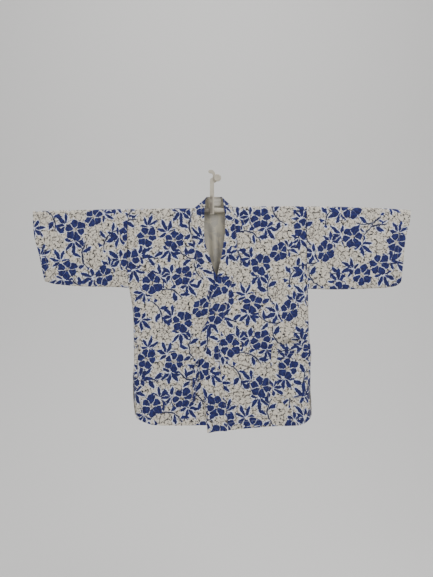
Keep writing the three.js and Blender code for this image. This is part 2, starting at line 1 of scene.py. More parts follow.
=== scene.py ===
import math
import bmesh
import bpy
import numpy as np
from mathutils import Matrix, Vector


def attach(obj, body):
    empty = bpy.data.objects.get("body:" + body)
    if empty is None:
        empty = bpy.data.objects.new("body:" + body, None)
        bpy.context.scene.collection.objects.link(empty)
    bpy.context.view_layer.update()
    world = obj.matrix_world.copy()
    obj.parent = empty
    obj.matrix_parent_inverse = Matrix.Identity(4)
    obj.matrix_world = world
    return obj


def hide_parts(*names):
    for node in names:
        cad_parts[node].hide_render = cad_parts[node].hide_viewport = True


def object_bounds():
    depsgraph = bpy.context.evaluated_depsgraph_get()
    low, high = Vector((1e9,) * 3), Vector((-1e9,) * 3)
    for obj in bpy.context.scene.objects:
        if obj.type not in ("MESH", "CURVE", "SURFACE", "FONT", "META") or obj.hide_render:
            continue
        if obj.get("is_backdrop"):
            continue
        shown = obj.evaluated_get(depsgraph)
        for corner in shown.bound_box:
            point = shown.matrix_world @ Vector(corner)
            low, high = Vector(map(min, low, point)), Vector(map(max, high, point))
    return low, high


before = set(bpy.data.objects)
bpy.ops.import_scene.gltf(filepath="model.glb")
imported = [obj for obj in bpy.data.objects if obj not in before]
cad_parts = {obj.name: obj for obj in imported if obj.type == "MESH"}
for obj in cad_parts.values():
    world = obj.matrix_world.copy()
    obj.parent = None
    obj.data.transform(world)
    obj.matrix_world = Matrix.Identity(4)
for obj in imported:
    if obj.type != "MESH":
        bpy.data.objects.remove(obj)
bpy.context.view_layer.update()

# The back of the jacket is one width of plain-woven cotton, printed in blue on off-white.
# It is cut straight, folds over the hanger's bar at the shoulders and is sewn to the
# fronts along the shoulders and down the sides as far as the slits. Sizes are millimetres.
HANG_Y = 10.5
FOLD_RADIUS = 9.5
SHELL = 0.9
SEAM_GAP = 0.4
SIDE_ROUND = 13
SLIT_TOP = -648
SLIT_SPREAD = 3.5
BODY_SWELL = 11
SLEEVE_SWELL = 6
WHOLE_DROP = 694
TOP_LINE = [(-570, -119), (-415, -115), (-269, -112), (-160, -110.8), (-62, -109.4),
            (10, -107.4), (75, -105.2), (160, -103.6), (253, -103), (380, -104.4),
            (507, -108), (609, -113.4), (640, -116)]
SIDE = {
    "right": [(-263, -112), (-266, -244), (-266, -323), (-261, -365), (-254, -403),
              (-247, -467), (-246, -546), (-245, -600), (-249, -651), (-248, -718), (-242, -774)],
    "left": [(307, -103), (307, -244), (307, -324), (311, -368), (314, -467), (316, -524),
             (323, -575), (320, -626), (320, -686), (324, -747), (324, -782)],
}
UNDERARM = {
    "right": [(-530, -344), (-506, -351), (-468, -356), (-383, -361), (-286, -363), (-260, -365)],
    "left": [(308, -368), (405, -370), (506, -367), (570, -363), (598, -356), (610, -345)],
}
HEM_BACK = [(-248, -768), (-221, -783), (-190, -793), (-129, -797), (200, -798),
            (287, -796), (300, -790), (320, -775)]
NECKLINE = [(-52, 0, -108.2), (-51, 5.5, -109.8), (-49, 9.8, -113.5), (-40, 12, -119),
            (-16, 14, -122), (10, 14, -122), (36, 14, -121), (58, 12, -117),
            (67, 9.8, -109.5), (69, 5.5, -105.8), (70, 0, -104.2)]
# Each fold: where it starts, its lean by the hem, twice the drop where it begins, half width
# and height.
BACK_FOLDS = [(-190, 10, 160, 36, 3.8), (-110, -14, 220, 32, -2.8), (-40, -8, 90, 30, 3.2),
              (52, 12, 110, 34, 3.4), (130, 8, 230, 30, -2.6), (222, -12, 170, 36, 4.0)]
# Each crease: from (x, z) to (x, z), half width, height; a minus sign makes a trough.
BACK_CREASES = [(-215, -250, -120, -420, 11, -2.2), (-150, -330, -190, -640, 13, 1.8),
                (-70, -180, -96, -520, 12, -2.4), (-20, -150, 12, -400, 14, 1.6),
                (30, -300, 8, -700, 12, -1.8), (92, -190, 70, -470, 10, 2.0),
                (150, -240, 190, -560, 13, -2.3), (262, -300, 215, -500, 11, 2.2),
                (240, -560, 262, -760, 12, -1.7), (-230, -560, -212, -740, 10, 1.6),
                (120, -600, 104, -780, 13, 1.9), (-110, -610, -132, -770, 12, -1.6),
                (2, -120, 4, -350, 7, -6.5), (-14, -140, -13, -320, 7, 5.5),
                (20, -150, 21, -320, 7, 5.5), (46, -188, 24, -204, 7, 2.5)]


def ease(t):
    t = np.clip(t, 0, 1)
    return t * t * (3 - 2 * t)


def follow(table, value, by=1, give=0):
    """A soft line through a table: the `give` column where the `by` column is value."""
    rows = sorted(table, key=lambda row: row[by])
    a = np.array([row[by] for row in rows], float)
    b = np.array([row[give] for row in rows], float)
    slope = np.gradient(b, a) if len(a) > 2 else np.full(2, (b[1] - b[0]) / (a[1] - a[0]))
    rise = np.diff(b) / np.diff(a)
    for i in range(len(rise)):
        low, high = sorted((0, 2.2 * rise[i]))
        slope[i] = np.clip(slope[i], low, high)
        slope[i + 1] = np.clip(slope[i + 1], low, high)
    v = np.clip(value, a[0], a[-1])
    i = np.clip(np.searchsorted(a, v, side="right") - 1, 0, len(a) - 2)
    h = a[i + 1] - a[i]
    t = (v - a[i]) / h
    return ((1 + 2 * t) * (1 - t) ** 2 * b[i] + t * (1 - t) ** 2 * h * slope[i]
            + t * t * (3 - 2 * t) * b[i + 1] + t * t * (t - 1) * h * slope[i + 1])


def top_at(x):
    return follow(TOP_LINE, x, 0, 1)


def over_bar(drop):
    inside = np.clip(FOLD_RADIUS ** 2 - (FOLD_RADIUS - np.clip(drop, 0, FOLD_RADIUS)) ** 2, 0, None)
    return np.sqrt(inside)


def folds(table, x, drop):
    total = 0 * x
    for start, lean, begin, wide, high in table:
        away = (x - start - lean * drop / WHOLE_DROP) / wide
        total = total + high * np.exp(-away * away) * ease((drop - begin * 0.5) / 330)
    return total


def creases(table, x, z):
    total = 0 * x
    for x0, z0, x1, z1, wide, high in table:
        dx, dz = x1 - x0, z1 - z0
        long = math.hypot(dx, dz)
        t = ((x - x0) * dx + (z - z0) * dz) / long ** 2
        bow = 0.05 * long * np.sin(math.pi * np.clip(t, 0, 1)) * (1 if x0 > x1 else -1)
        away = (((x - x0) * dz - (z - z0) * dx) / long - bow) / wide
        fade = np.sin(math.pi * np.clip(t, 0, 1)) ** 0.8
        total = total + high * np.exp(-away * away) * fade
    return total


def swell(drop):
    return BODY_SWELL * ease(drop / WHOLE_DROP) + 1.2 * ease(drop / 90)


def back_depth(x, z):
    drop = np.clip(top_at(x) - z, 0, None)
    nape = 3.3 * np.exp(-((x - 10) / 62) ** 4) * (1 - ease((drop - 60) / 160)) * ease(drop / 12)
    soft = creases(BACK_CREASES, x, z) * ease((drop - 25) / 60)
    return over_bar(drop) + nape + swell(drop) + folds(BACK_FOLDS, x, drop) + soft


def sleeve_depth(drop, whole, belly):
    left = np.clip(whole - drop, 0, None) / (FOLD_RADIUS * 1.1)
    shut = np.sqrt(np.clip(1 - np.clip(1 - left, 0, 1) ** 2, 0, 1))
    return (over_bar(drop) + belly * np.sin(math.pi * np.clip(drop / whole, 0, 1)) ** 0.8) * shut


def edge_depth(side, x, z):
    top = top_at(x)
    sleeve = sleeve_depth(top - z, top - follow(UNDERARM[side], x, 0, 1), SLEEVE_SWELL)
    slit = SLIT_SPREAD * ease((SLIT_TOP - z) / 90)
    return np.maximum(np.maximum(sleeve, slit), SEAM_GAP / 2)


def row_z(drop, x, hem):
    top = top_at(x)
    stretch = (top - follow(hem, x, 0, 1)) / WHOLE_DROP - 1
    return top - drop * (1 + stretch * ease((drop - 280) / 390))


def run_length(points, axis):
    """Distance along the cloth from the first point, down the rows or across the columns."""
    step = np.linalg.norm(np.diff(points, axis=axis), axis=2)
    start = np.zeros_like(np.take(step, [0], axis=axis))
    return np.concatenate([start, np.cumsum(step, axis=axis)], axis=axis)


def smooth_mesh(name, verts, faces):
    mesh = bpy.data.meshes.new(name)
    mesh.from_pydata(verts, [], faces)
    mesh.polygons.foreach_set("use_smooth", np.ones(len(faces), bool))
    return mesh


def add_object(name, data):
    piece = bpy.data.objects.new(name, data)
    bpy.context.scene.collection.objects.link(piece)
    return piece


def make_shell(name, points, cloth, thick=SHELL, closed=False, materials=()):
    """A thin closed shell under a grid of points, with the cloth's own flat coordinates."""
    rows, cols = points.shape[:2]
    if closed:
        across = np.roll(points, -1, 1) - np.roll(points, 1, 1)
    else:
        across = np.gradient(points, axis=1)
    normal = np.cross(across, np.gradient(points, axis=0))
    normal /= np.linalg.norm(normal, axis=2, keepdims=True) + 1e-12
    inner = points - normal * thick
    verts = np.concatenate([points.reshape(-1, 3), inner.reshape(-1, 3)]) * 0.001
    wide = cols if closed else cols - 1
    under = rows * cols
    r, c = np.meshgrid(np.arange(rows - 1), np.arange(wide), indexing="ij")
    r, c = r.ravel(), c.ravel()
    spot = [(r, c), (r, c + 1), (r + 1, c + 1), (r + 1, c)]
    index = np.stack([a * cols + b % cols for a, b in spot], 1)
    flat = np.stack([a * cloth.shape[1] + b for a, b in spot], 1)
    faces = [index, (index + under)[:, ::-1]]
    maps = [flat, flat[:, ::-1]]
    slots = [np.zeros(len(index), int), np.ones(len(index), int)]
    rims = [[(0, k) for k in range(wide, -1, -1)], [(rows - 1, k) for k in range(wide + 1)]]
    if not closed:
        rims += [[(k, 0) for k in range(rows)], [(k, cols - 1) for k in range(rows - 1, -1, -1)]]
    for rim in rims:
        ids = np.array([a * cols + b % cols for a, b in rim])
        uvs = np.array([a * cloth.shape[1] + b for a, b in rim])
        faces.append(np.stack([ids[:-1], ids[1:], ids[1:] + under, ids[:-1] + under], 1))
        maps.append(np.stack([uvs[:-1], uvs[1:], uvs[1:], uvs[:-1]], 1))
        slots.append(np.zeros(len(ids) - 1, int))
    faces, maps, slots = np.concatenate(faces), np.concatenate(maps), np.concatenate(slots)
    mesh = smooth_mesh(name, verts.tolist(), faces.tolist())
    mesh.uv_layers.new(name="cloth").uv.foreach_set(
        "vector", (cloth.reshape(-1, 2)[maps.ravel()] * 0.001).ravel().astype(np.float32))
    mesh.polygons.foreach_set("material_index", slots.astype(np.int32))
    mesh.set_sharp_from_angle(angle=math.radians(50))
    piece = add_object(name, mesh)
    for material in materials:
        mesh.materials.append(material)
    return piece


def math_node(operation):
    """A method that puts a socket, and any others given, through one math node."""
    return lambda wire, *others: wire.sum(operation, *others)


class Wire:
    """One socket of a material, so that shader sums read as sums."""

    def __init__(self, shop, socket):
        self.shop, self.socket = shop, socket

    def sum(self, operation, *others, clamp=False):
        return self.shop.add("ShaderNodeMath", {"operation": operation, "use_clamp": clamp},
                             [self, *others])

    __add__ = __radd__ = math_node("ADD")
    __mul__ = __rmul__ = math_node("MULTIPLY")
    __sub__ = math_node("SUBTRACT")
    __truediv__ = math_node("DIVIDE")
    __pow__ = math_node("POWER")
    __lt__ = math_node("LESS_THAN")
    __gt__ = math_node("GREATER_THAN")
    __abs__ = math_node("ABSOLUTE")
    most = math_node("MAXIMUM")
    least = math_node("MINIMUM")

    def __rsub__(self, other):
        return self.shop.number(other).sum("SUBTRACT", self)

    def ramp(self, low, high):
        """0 below low, 1 above high, soft between."""
        return self.shop.add("ShaderNodeMapRange", {"interpolation_type": "SMOOTHSTEP"},
                             {"Value": self, "From Min": low, "From Max": high})


class Finish:
    """A material and the one method that adds a node to it."""

    def __init__(self, name):
        self.material = bpy.data.materials.new(name)
        self.material.use_nodes = True
        self.tree = self.material.node_tree
        self.tree.nodes.clear()

    def add(self, kind, settings=None, inputs=None, out=0):
        node = self.tree.nodes.new(kind)
        for key, value in (settings or {}).items():
            setattr(node, key, value)
        pairs = enumerate(inputs) if isinstance(inputs, (list, tuple)) else (inputs or {}).items()
        for key, value in pairs:
            if value is None:
                continue
            if isinstance(value, Wire):
                self.tree.links.new(value.socket, node.inputs[key])
            else:
                node.inputs[key].default_value = value
        return Wire(self, node.outputs[out])

    def number(self, value):
        return self.add("ShaderNodeMath", {"operation": "ADD"}, [value, 0.0])

    def vector(self, operation, *inputs, out=0):
        return self.add("ShaderNodeVectorMath", {"operation": operation}, list(inputs), out)

    def scaled(self, vector, by):
        return self.add("ShaderNodeVectorMath", {"operation": "SCALE"}, {0: vector, "Scale": by})

    def turned(self, vector, degrees):
        return self.add("ShaderNodeVectorRotate", {"rotation_type": "Z_AXIS"},
                        {"Vector": vector, "Angle": math.radians(-degrees)})

    def noise(self, spot, scale, detail=2.0):
        return self.add("ShaderNodeTexNoise", {}, {"Vector": spot, "Scale": scale, "Detail": detail})

    def parts(self, vector):
        node = self.tree.nodes.new("ShaderNodeSeparateXYZ")
        self.tree.links.new(vector.socket, node.inputs[0])
        return [Wire(self, node.outputs[i]) for i in range(3)]

    def blend(self, amount, first, second, kind="RGBA"):
        keys = {"RGBA": (6, 7, 2), "VECTOR": (4, 5, 1)}[kind]
        inputs = {0: amount, keys[0]: first, keys[1]: second}
        return self.add("ShaderNodeMix", {"data_type": kind}, inputs, out=keys[2])

    def close(self, colour, roughness, bumps=(), sheen=0.0):
        normal = None
        for height, strength, distance in bumps:
            normal = self.add("ShaderNodeBump", {}, {"Strength": strength, "Distance": distance,
                                                     "Height": height, "Normal": normal})
        inputs = {"Base Color": colour, "Roughness": roughness, "Normal": normal,
                  "Sheen Weight": sheen}
        shader = self.add("ShaderNodeBsdfPrincipled", {}, inputs)
        last = self.tree.nodes.new("ShaderNodeOutputMaterial")
        self.tree.links.new(shader.socket, last.inputs[0])
        return self.material


# The print repeats every REPEAT millimetres: flowers of PETALS petals with stippled centres,
# palm sprigs, and arched stems with leaves set along them. Each row: x, y, turn, size,
# squash.
REPEAT = (430, 390)
PETALS = 6
FLOWERS = [(60, 58, 10, 33, 1.0), (118, 98, 47, 32, 0.8), (232, 48, 80, 34, 0.94),
           (330, 84, 25, 31, 0.8), (392, 184, 62, 34, 1.0), (60, 206, 33, 34, 0.86),
           (196, 172, 5, 32, 1.0), (268, 226, 55, 34, 0.84), (322, 262, 20, 33, 0.95),
           (150, 300, 70, 34, 0.82), (376, 334, 15, 32, 0.95), (236, 346, 40, 33, 1.0),
           (34, 322, 0, 32, 0.9)]
PALMS = [(30, 75, 136, 43, 1.0), (55, 24, 272, 47, 0.92), (149, 109, 14, 41, 1.0),
         (244, 81, 86, 49, 0.95), (199, 36, 204, 45, 1.0), (358, 68, 316, 43, 0.92),
         (419, 207, 50, 47, 1.0), (369, 157, 224, 41, 0.95), (25, 212, 186, 49, 1.0),
         (78, 175, 304, 45, 0.92), (190, 205, 86, 43, 1.0), (185, 141, 260, 47, 0.95),
         (237, 244, 144, 41, 1.0), (354, 274, 36, 49, 0.92), (334, 230, 294, 45, 1.0),
         (168, 331, 46, 43, 0.95), (115, 294, 200, 47, 1.0), (382, 367, 74, 41, 0.92),
         (202, 352, 186, 49, 1.0), (262, 324, 324, 45, 0.95), (13, 348, 116, 43, 1.0),
         (23, 291, 260, 47, 0.92)]
STEMS = [(290, 18, 200, 50, 1.0), (20, 146, 340, 48, 1.0), (262, 126, 95, 50, 1.0),
         (372, 250, 15, 50, 1.0), (120, 222, 120, 48, 1.0), (88, 278, 160, 46, 1.0),
         (306, 366, 30, 50, 1.0), (98, 366, 95, 48, 1.0), (404, 92, 300, 48, 1.0),
         (172, 22, 60, 44, 1.0), (196, 246, 200, 44, 1.0)]


def printed_cotton(name, face):
    """The printed face of the cotton, or its pale reverse where the print only ghosts."""
    f = Finish(name)
    uv = f.add("ShaderNodeUVMap", {"uv_map": "cloth"})
    cm = f.scaled(uv, 1000.0)

    def noise(scale, detail=2.0, out=0, stretch=(1, 1, 1), rough=0.5):
        at = f.vector("MULTIPLY", cm, stretch) if stretch != (1, 1, 1) else cm
        return f.add("ShaderNodeTexNoise", {"noise_dimensions": "2D"},
                     {"Vector": at, "Scale": scale, "Detail": detail, "Roughness": rough}, out)

    wander = f.vector("SUBTRACT", noise(0.055, 1.0, out=1), (0.5, 0.5, 0.5))
    rough = f.vector("SUBTRACT", noise(0.42, 1.0, out=1), (0.5, 0.5, 0.5))
    drawn = f.vector("ADD", f.vector("ADD", cm, f.scaled(wander, 9.0)), f.scaled(rough, 2.2))

    def nearest(chart):
        """The local place in the nearest motif of a chart, in units of that motif's size."""
        best = f.number(9.0)
        place = f.vector("ADD", (9.0, 9.0, 0.0), (0.0, 0.0, 0.0))
        half = (REPEAT[0] / 2, REPEAT[1] / 2, 1.0)
        for x, y, turn, size, squash in chart:
            away = f.vector("SUBTRACT", drawn, (x, y, 0.0))
            away = f.vector("WRAP", away, half, tuple(-h for h in half))
            away = f.turned(away, turn)
            away = f.vector("MULTIPLY", away, (1 / size, 1 / (size * squash), 0.0))
            long = f.vector("LENGTH", away, out=1)
            place = f.blend(long < best, place, away, "VECTOR")
            best = best.least(long)
        return place, best

    def leaf(place, turn, start, long, wide):
        """How far inside one pointed leaf a place is; below 0 is outside."""
        x, y, _ = f.parts(f.turned(place, turn))
        t = ((x - start) / long).sum("ADD", 0.0, clamp=True)
        beyond = (abs(x - (start + long / 2)) - long / 2).most(0.0)
        return (((t * (1 - t) * 4) ** 0.8) * wide) - abs(y) - beyond

    # Flowers: six blunt petals of uneven width, close round an open centre.
    place, near = nearest(FLOWERS)
    x, y, _ = f.parts(place)
    turn = y.sum("ARCTAN2", x) * (PETALS / (2 * math.pi))
    petal = turn.sum("FLOOR")
    vary = (petal * 2.4 + 1.0).sum("SINE")
    swing = turn.sum("FRACT") - 0.5 - (petal * 3.7).sum("SINE") * 0.04
    swing = swing * (2 * math.pi / PETALS)
    reach = near * swing.sum("COSINE")
    aside = abs(near * swing.sum("SINE"))
    t = ((reach - 0.20) / (0.84 + vary * 0.09)).sum("ADD", 0.0, clamp=True)
    blunt = ((t ** 1.25) * math.pi).sum("SINE") ** 0.6
    flower = (blunt * (0.40 + vary * 0.03)).least(reach * 0.565 - 0.015) - aside
    flower = flower - (t < 0.001) - (near > 1.2)
    vein = (0.014 - aside).ramp(-0.01, 0.01) * reach.ramp(0.9, 0.45) * flower.ramp(0.0, 0.1)
    centre = near.ramp(0.32, 0.26)

    # Palm sprigs: pointed leaves that fan out from one point, on a short stalk.
    place, _ = nearest(PALMS)
    palm = leaf(place, 0, 0.08, 0.94, 0.155)
    for angle, long in ((47, 0.80), (-44, 0.84), (98, 0.64), (-102, 0.58)):
        palm = palm.most(leaf(place, angle, 0.08, long, 0.135))
    x, y, _ = f.parts(place)
    stalk = 0.034 - abs(y + x * x * 0.5)
    palm = palm.most(stalk.least((0 - x) * 0.5).least((x + 0.75)))

    # Arched stems: a thin bow with leaves set along it and a bud at its end.
    place, _ = nearest(STEMS)
    x, y, _ = f.parts(place)
    bow = y - 0.34 + x * x * 0.42
    vine = (0.058 - abs(bow)).least(0.9 - abs(x)) - (near < 1.0) * 2
    stem = f.number(-1.0)
    for shift, angle, long in ((-0.5, 128, 0.66), (-0.1, 62, 0.68), (0.2, -62, 0.68),
                               (0.6, 20, 0.66)):
        moved = f.vector("SUBTRACT", place, (shift, 0.34 - shift * shift * 0.42, 0.0))
        stem = stem.most(leaf(moved, angle, 0.06, long, 0.14))
    bud = f.vector("LENGTH", f.vector("SUBTRACT", place, (-0.9, 0.02, 0.0)), out=1)
    stem = stem.most(0.10 - bud)

    # Sprigs and stems give way where a flower stands, and keep a pale line round them.
    figure = flower.most(palm.most(stem) - (near < 1.05) * 2)
    halo = figure.ramp(-0.085, -0.02).most(vine.ramp(-0.02, 0.0) * 0.5)
    thin = vine.ramp(0.0, 0.02) * figure.ramp(0.012, -0.006)
    ink = figure.most(vine).ramp(-0.006, 0.022)

    # The ground: a warm off-white with broken crackle lines, blots, specks and thread tone.
    torn = f.vector("SUBTRACT", noise(0.12, 3.0, out=1, rough=0.65), (0.5, 0.5, 0.5))
    torn = f.vector("ADD", cm, f.scaled(torn, 17.0))

    def cracks(scale, wide):
        net = f.add("ShaderNodeTexVoronoi", {"voronoi_dimensions": "2D",
                                             "feature": "DISTANCE_TO_EDGE"},
                    {"Vector": torn, "Scale": scale, "Randomness": 1.0})
        return net.ramp(wide, wide * 0.35)

    lines = cracks(0.055, 0.085) * noise(0.08, 2.0).ramp(0.37, 0.49)
    lines = lines.most(cracks(0.11, 0.10) * noise(0.15, 2.0).ramp(0.49, 0.58) * 0.55)
    blots = noise(0.13, 2.0, rough=0.4).ramp(0.53, 0.555) * cracks(0.055, 0.16)
    blots = blots.most(noise(0.17, 1.0).ramp(0.675, 0.69))
    lines, blots = lines * (1 - halo), blots * (1 - ink)
    stipple = noise(0.4, 2.0).ramp(0.50, 0.58) * centre * near.ramp(0.30, 0.08)
    blots = blots.most(stipple * 0.75)
    slub = noise(0.5, 3.0, stretch=(0.25, 2.2, 1))
    warp = noise(0.5, 3.0, stretch=(2.2, 0.25, 1))
    tone = (slub + warp) * 0.5

    ground = f.blend(noise(0.03, 2.0), (0.72, 0.655, 0.535, 1), (0.83, 0.77, 0.655, 1))
    ground = f.blend(noise(0.12, 3.0).ramp(0.45, 0.72) * 0.35, ground, (0.52, 0.46, 0.38, 1))
    ground = f.blend(halo, ground, (0.80, 0.83, 0.96, 1))
    ground = f.blend(lines * 0.85, ground, (0.085, 0.068, 0.058, 1))
    ground = f.blend(blots, ground, (0.010, 0.009, 0.014, 1))
    deep = noise(0.12, 2.0).ramp(0.35, 0.7)
    deep = f.blend(deep, (0.004, 0.006, 0.068, 1), (0.012, 0.020, 0.145, 1))
    deep = f.blend(vein * 0.25, deep, (0.10, 0.15, 0.40, 1))
    deep = f.blend(thin * 0.85, deep, (0.018, 0.02, 0.042, 1))
    colour = f.blend(ink, ground, deep)
    colour = f.blend(tone.ramp(0.35, 0.65) * 0.14, colour, (0.02, 0.02, 0.03, 1))
    if face == "reverse":
        pale = f.blend(noise(0.02, 2.0), (0.42, 0.385, 0.30, 1), (0.54, 0.50, 0.40, 1))
        ghost = f.blend(figure.ramp(-0.04, 0.05) * 0.3, pale, (0.17, 0.18, 0.23, 1))
        colour = f.blend(tone.ramp(0.35, 0.65) * 0.12, ghost, (0.15, 0.14, 0.12, 1))
    weave = slub.most(warp)
    return f.close(colour, 0.86, [(noise(0.06, 3.0), 0.25, 0.0012), (weave, 0.35, 0.00025)], 0.12)


cotton = printed_cotton("printed_cotton", "face")
cotton_reverse = printed_cotton("cotton_reverse", "reverse")
CLOTH = (cotton, cotton_reverse)


# NOSE spaces the columns round a side fold and NOSE_RISE is the depth's share at each of them.
# DROPS are the rows' distances down from the top line, closest at the fold and at the hem.
NOSE = 1 - np.cos(np.linspace(0, math.pi / 2, 9))
NOSE_RISE = np.sqrt(1 - (1 - NOSE) ** 2)
DROPS = np.concatenate([FOLD_RADIUS * (1 - np.cos(np.linspace(0, math.pi / 2, 7))),
                        np.linspace(14, WHOLE_DROP - 29, 131),
                        WHOLE_DROP - np.array([26, 24, 23, 22, 21, 20, 18, 14, 9, 5, 2, 0.5, 0])])


def back_points():
    cut_x, cut_z = np.array(NECKLINE, float)[:, 0], np.array(NECKLINE, float)[:, 2]
    neck_x = np.array([-51.8, -51.4, -50.6, -49.2, -46, -40, *np.linspace(-32, 50, 15),
                       58, 64, 67.2, 68.6, 69.4, 69.8])
    reach = 42
    drop = DROPS[:, None]
    z = top_at(0) - drop + np.zeros((1, 2 * (len(NOSE) + reach) + len(neck_x)))
    cols = z.shape[1]

    def at(z):
        left = follow(SIDE["right"], z) + SEAM_GAP / 2
        right = follow(SIDE["left"], z) - SEAM_GAP / 2
        x = np.empty_like(z)
        n = len(NOSE)
        x[:, :n] = left[:, :n] + SIDE_ROUND * NOSE
        x[:, -n:] = right[:, -n:] - SIDE_ROUND * NOSE[::-1]
        t = np.linspace(0, 1, reach + 2)[1:-1]
        a = left[:, n:n + reach] + SIDE_ROUND
        x[:, n:n + reach] = a + (-52.4 - a) * t
        b = right[:, -n - reach:-n] - SIDE_ROUND
        x[:, -n - reach:-n] = 70.4 + (b - 70.4) * t
        x[:, n + reach:-n - reach] = neck_x
        return x

    for _ in range(3):
        z = row_z(drop, at(z), HEM_BACK)
    x = at(z)
    fall = np.clip(top_at(x) - z, 0, None)
    cut = np.clip(top_at(x) - np.interp(x, cut_x, cut_z), 0, None) + SEAM_GAP
    in_neck = (x > -52) & (x < 70)
    fall = fall + np.where(in_neck, cut * (1 - ease(fall / 60)), 0)
    z = top_at(x) - fall
    n = len(NOSE)
    left = follow(SIDE["right"], z)[:, n - 1] + SIDE_ROUND
    right = follow(SIDE["left"], z)[:, -n] - SIDE_ROUND
    even = left[:, None] + (right - left)[:, None] * np.linspace(0, 1, cols - 2 * n + 2)[1:-1]
    spread = ease((fall[:, n:-n] - 60) / 240) * 0.85
    x[:, n:-n] += (even - x[:, n:-n]) * spread
    depth = back_depth(x, z)
    turn = np.ones(cols)
    turn[:n] = NOSE_RISE
    turn[-n:] = turn[:n][::-1]
    side = np.where(np.arange(cols) < cols / 2, 0, 1)
    edge = np.where(side == 0, edge_depth("right", x, z), edge_depth("left", x, z))
    edge = np.minimum(edge, depth)
    depth = edge + (depth - edge) * turn
    return np.stack([x, HANG_Y + np.maximum(SEAM_GAP / 2, depth), z], 2)


back_grid = back_points()
middle = back_grid.shape[1] // 2
across = run_length(back_grid, 1)
down = run_length(back_grid, 0)
back_cloth = np.stack([across - across[:, [middle]] + 640, -down + 200], 2)
back = make_shell("back_panel", back_grid, back_cloth, materials=CLOTH)
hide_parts("back")
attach(back, "root")

# The two fronts are cut from the same cotton. The wearer's right one lies underneath and
# the left one laps over it, so it stands off by the thickness of the band beneath.
HEM_DEEP = 22
SLIT_INSET = 4
LAP_LIFT = 4.4
LAP_FADE = 48
HEM_FRONT = {
    "right": [(-248, -770), (-221, -786), (-202, -794), (-176, -800), (-129, -802),
              (-33, -801), (33, -802), (97, -798)],
    "left": [(-7, -825), (16, -820), (37, -818), (94, -812), (157, -807), (231, -803),
             (287, -800), (300, -794), (320, -777)],
}
BAND_SEAM = {
    "right": [(-52, -109), (-57, -130), (-60, -149), (-61, -181), (-50, -251), (-30, -314),
              (-14, -359), (2, -419), (14, -515), (24, -626), (33, -721), (40, -798)],
    "left": [(70, -105), (75, -130), (81, -181), (86, -222), (84, -263), (79, -301), (68, -346),
             (57, -403), (43, -467), (33, -530), (30, -600), (37, -658), (46, -709),
             (51, -759), (56, -818)],
}
BAND_EDGE = {
    "right": [(-19, -107), (-20.5, -169), (-20, -200), (-16, -225), (-8, -251), (1, -276),
              (8, -301), (21, -330), (33, -371), (49, -435), (65, -530), (81, -642),
              (91, -737), (97, -798)],
    "left": [(43, -107), (46, -136), (46.5, -187), (41, -222), (36, -255), (28, -295),
             (21, -330), (5, -381), (-7, -460), (-24, -492), (-32, -530), (-34, -600),
             (-33, -651), (-21, -709), (-14, -759), (-7, -825)],
}
FRONT_FOLDS = [(-205, 18, 190, 34, 3.6), (-140, 12, 260, 30, -2.6), (-92, -10, 120, 32, 2.4),
               (128, 16, 150, 34, 3.0), (190, 10, 240, 28, -2.4), (252, 14, 180, 32, 3.8)]
FRONT_CREASES = [(-246, -268, -168, -392, 9, -2.4), (-238, -300, -206, -470, 8, 1.8),
                 (-180, -210, -150, -470, 12, -1.8), (-110, -250, -132, -560, 12, 2.0),
                 (-84, -170, -60, -380, 9, -1.6), (-214, -520, -196, -760, 11, 2.0),
                 (-160, -600, -176, -790, 12, -2.2), (-96, -560, -80, -790, 13, 1.7),
                 (-52, -640, -40, -795, 9, -1.6), (108, -150, 122, -360, 11, 1.7),
                 (100, -300, 92, -560, 10, -2.0), (160, -210, 142, -470, 12, 1.9),
                 (296, -262, 214, -392, 9, -2.6), (300, -310, 262, -470, 9, 1.9),
                 (206, -330, 196, -530, 12, -1.8), (120, -600, 104, -800, 12, 2.1),
                 (150, -560, 166, -790, 11, -2.0), (74, -430, 84, -640, 10, 1.4),
                 (300, -560, 292, -760, 9, 1.6), (-20, -400, -6, -560, 10, -1.5),
                 (10, -560, 2, -780, 12, 1.5), (236, -722, 250, -800, 10, -1.5),
                 (216, -528, 300, -519, 8, 8.0), (222, -545, 296, -537, 8, -8.0)]


def front_depth(x, z):
    drop = np.clip(top_at(x) - z, 0, None)
    soft = creases(FRONT_CREASES, x, z) * ease((drop - 25) / 60)
    return over_bar(drop) + swell(drop) + folds(FRONT_FOLDS, x, drop) + soft


def lap(x, z):
    return LAP_LIFT * (1 - ease((x - follow(BAND_EDGE["right"], z) - 2) / LAP_FADE))


def front_points(side):
    inward = 1 if side == "right" else -1
    n, reach = len(NOSE), 56
    drop = DROPS[:, None]
    t = np.linspace(0, 1, reach + 1)[1:]

    def at(z):
        slit = SLIT_INSET * ease((SLIT_TOP - z) / 60)
        start = follow(SIDE[side], z) + inward * (SEAM_GAP / 2 + slit)
        end = follow(BAND_SEAM[side], z) - inward * SEAM_GAP / 2
        x = start + inward * SIDE_ROUND * np.concatenate([NOSE, np.ones(reach)])
        x[:, n:] += (end - x)[:, n:] * t
        return x

    z = top_at(0) - drop + np.zeros((1, n + reach))
    for _ in range(3):
        z = row_z(drop, at(z), HEM_FRONT[side])
    x = at(z)
    depth = front_depth(x, z)
    edge = np.minimum(edge_depth(side, x, z), depth)
    depth = edge + (depth - edge) * np.concatenate([NOSE_RISE, np.ones(reach)])
    to_seam = np.abs(x - x[:, [-1]])
    to_side = np.abs(x - x[:, [0]]) + 200 * (z < follow(UNDERARM[side], x, 0, 1) + 6)
    sunk = np.exp(-(to_seam / 3.5) ** 2) + np.exp(-(to_side / 3.5) ** 2)
    depth = depth - 0.6 * sunk * ease(drop / 20) + (lap(x, z) if side == "left" else 0)
    return np.stack([x, HANG_Y - np.maximum(SEAM_GAP / 2, depth), z], 2)


